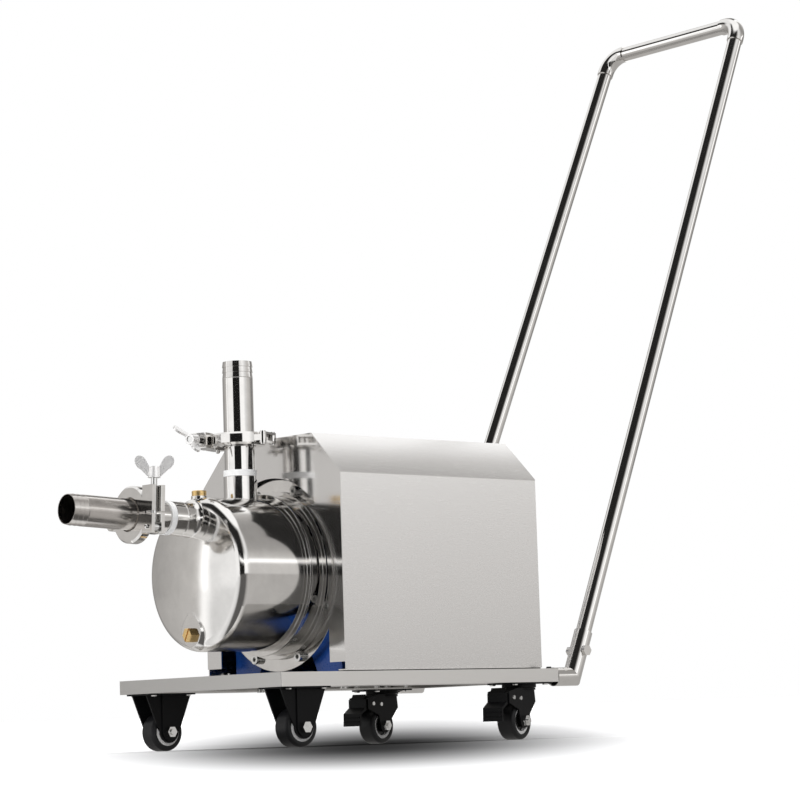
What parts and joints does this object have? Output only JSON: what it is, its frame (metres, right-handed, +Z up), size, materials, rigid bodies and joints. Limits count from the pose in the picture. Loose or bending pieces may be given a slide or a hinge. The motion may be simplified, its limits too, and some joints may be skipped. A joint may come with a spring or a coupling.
{
  "type": "self-priming pump",
  "caption": "Self-priming centrifugal pump in stainless steel on a push cart, with hose tails on hinged clamps, a sheet motor cover and a tall tube handle.",
  "frame": {"origin": "on the floor under the wheels, in the middle of the overall length and width", "axes": "+X from the pump inlet towards the push handle, +Z up, +Y to the left-hand side of someone who looks from the inlet towards the handle"},
  "size_m": [1.1554, 0.35, 1.0662],
  "materials": {
    "polished_stainless": "polished",
    "satin_stainless": "satin",
    "blue_paint": "gloss",
    "zinc_steel": "satin",
    "black_steel": "satin",
    "black_tyre": "matte",
    "grey_hub": "matte",
    "black_rubber": "matte",
    "white_tape": "matte",
    "brass": "satin",
    "bare_steel": "machined",
    "dark_plastic": "matte",
    "seal_carbon": "matte"
  },
  "bodies": {
    "cart": {"back_plate": "polished_stainless", "cable_entries": "black_rubber", "caster_fixings": "zinc_steel", "cover_front": "satin_stainless", "cover_hood": "satin_stainless", "cover_rear": "satin_stainless", "cover_strips": "black_rubber", "cross_bar": "polished_stainless", "deck_fixings": "zinc_steel", "deck_tray": "satin_stainless", "fan_cowl": "blue_paint", "ferrule_adapters": "polished_stainless", "flange_screws": "zinc_steel", "front_brackets": "black_steel", "handle_elbows": "polished_stainless", "handle_fixings": "polished_stainless", "handle_sockets": "polished_stainless", "handle_uprights": "polished_stainless", "inlet_clamp": "polished_stainless", "inlet_hose_tail": "polished_stainless", "motor_bearings": "bare_steel", "motor_bracket": "blue_paint", "motor_frame": "blue_paint", "motor_risers": "blue_paint", "motor_stator": "bare_steel", "outlet_clamp": "polished_stainless", "outlet_hose_tail": "polished_stainless", "pump_casing": "polished_stainless", "rear_shield": "blue_paint", "seal_rings": "black_rubber", "socket_fixings": "black_rubber", "swivel_plates": "black_steel", "terminal_box": "blue_paint", "thread_tapes": "white_tape", "volute_chamber": "polished_stainless"},
    "rotating_assembly": {"pump_shaft": "bare_steel", "motor_rotor": "bare_steel", "impeller": "polished_stainless", "fan": "dark_plastic", "seal_head": "seal_carbon"},
    "inlet_bolt": {"inlet_swing_bolt": "zinc_steel"},
    "inlet_nut": {"inlet_wing_nut": "polished_stainless"},
    "outlet_bolt": {"outlet_swing_bolt": "zinc_steel"},
    "outlet_nut": {"outlet_wing_nut": "polished_stainless"},
    "drain_closure": {"drain_plug": "brass"},
    "fill_closure": {"fill_plug": "brass"},
    "left_front_wheel": {"left_front_tyre": "black_tyre", "left_front_hub": "grey_hub"},
    "left_rear_wheel": {"left_rear_tyre": "black_tyre", "left_rear_hub": "grey_hub"},
    "left_fork": {"left_rear_fork": "black_steel", "left_fork_pins": "zinc_steel"},
    "left_pedal": {"left_brake_pedal": "black_steel"},
    "right_front_wheel": {"right_front_tyre": "black_tyre", "right_front_hub": "grey_hub"},
    "right_rear_wheel": {"right_rear_tyre": "black_tyre", "right_rear_hub": "grey_hub"},
    "right_fork": {"right_rear_fork": "black_steel", "right_fork_pins": "zinc_steel"},
    "right_pedal": {"right_brake_pedal": "black_steel"}
  },
  "joints": [
    {"name": "shaft_spin", "type": "hinge", "parent": "cart", "child": "rotating_assembly", "pos_m": [-0.20948, 0, 0.2245], "axis": [1, 0, 0], "continuous": true},
    {"name": "left_front_roll", "type": "hinge", "parent": "cart", "child": "left_front_wheel", "pos_m": [-0.33348, -0.14, 0.025], "axis": [0, 1, 0], "continuous": true},
    {"name": "right_front_roll", "type": "hinge", "parent": "cart", "child": "right_front_wheel", "pos_m": [-0.33348, 0.14, 0.025], "axis": [0, 1, 0], "continuous": true},
    {"name": "left_swivel", "type": "hinge", "parent": "cart", "child": "left_fork", "pos_m": [0.05402, -0.14, 0.0689], "axis": [0, 0, 1], "continuous": true},
    {"name": "left_rear_roll", "type": "hinge", "parent": "left_fork", "child": "left_rear_wheel", "pos_m": [0.0386, -0.14428, 0.025], "axis": [0.2672, -0.9636, 0], "continuous": true},
    {"name": "left_brake_press", "type": "hinge", "parent": "left_fork", "child": "left_pedal", "pos_m": [0.03051, -0.14652, 0.055], "axis": [0.2672, -0.9636, 0], "range_deg": [0, 14]},
    {"name": "right_swivel", "type": "hinge", "parent": "cart", "child": "right_fork", "pos_m": [0.05402, 0.14, 0.0689], "axis": [0, 0, 1], "continuous": true},
    {"name": "right_rear_roll", "type": "hinge", "parent": "right_fork", "child": "right_rear_wheel", "pos_m": [0.03831, 0.13695, 0.025], "axis": [0.1908, -0.9816, 0], "continuous": true},
    {"name": "right_brake_press", "type": "hinge", "parent": "right_fork", "child": "right_pedal", "pos_m": [0.03007, 0.13534, 0.055], "axis": [0.1908, -0.9816, 0], "range_deg": [0, 14]},
    {"name": "inlet_bolt_swing", "type": "hinge", "parent": "cart", "child": "inlet_bolt", "pos_m": [-0.47476, -0.042, 0.27991], "axis": [0.9989, 0, -0.0471], "range_deg": [0, 100]},
    {"name": "inlet_nut_turn", "type": "hinge", "parent": "inlet_bolt", "child": "inlet_nut", "pos_m": [-0.47182, -0.042, 0.34234], "axis": [0.0471, 0, 0.9989], "continuous": true},
    {"name": "outlet_bolt_swing", "type": "hinge", "parent": "cart", "child": "outlet_bolt", "pos_m": [-0.30126, 0.04589, 0.401], "axis": [0, 0, -1], "range_deg": [0, 100]},
    {"name": "outlet_nut_turn", "type": "hinge", "parent": "outlet_bolt", "child": "outlet_nut", "pos_m": [-0.35858, 0.02097, 0.401], "axis": [-0.9171, -0.3987, 0], "continuous": true},
    {"name": "drain_plug_turn", "type": "hinge", "parent": "cart", "child": "drain_closure", "pos_m": [-0.38778, 0, 0.1465], "axis": [-1, 0, 0], "continuous": true},
    {"name": "fill_plug_turn", "type": "hinge", "parent": "cart", "child": "fill_closure", "pos_m": [-0.36948, 0, 0.3255], "axis": [0, 0, 1], "continuous": true}
  ]
}
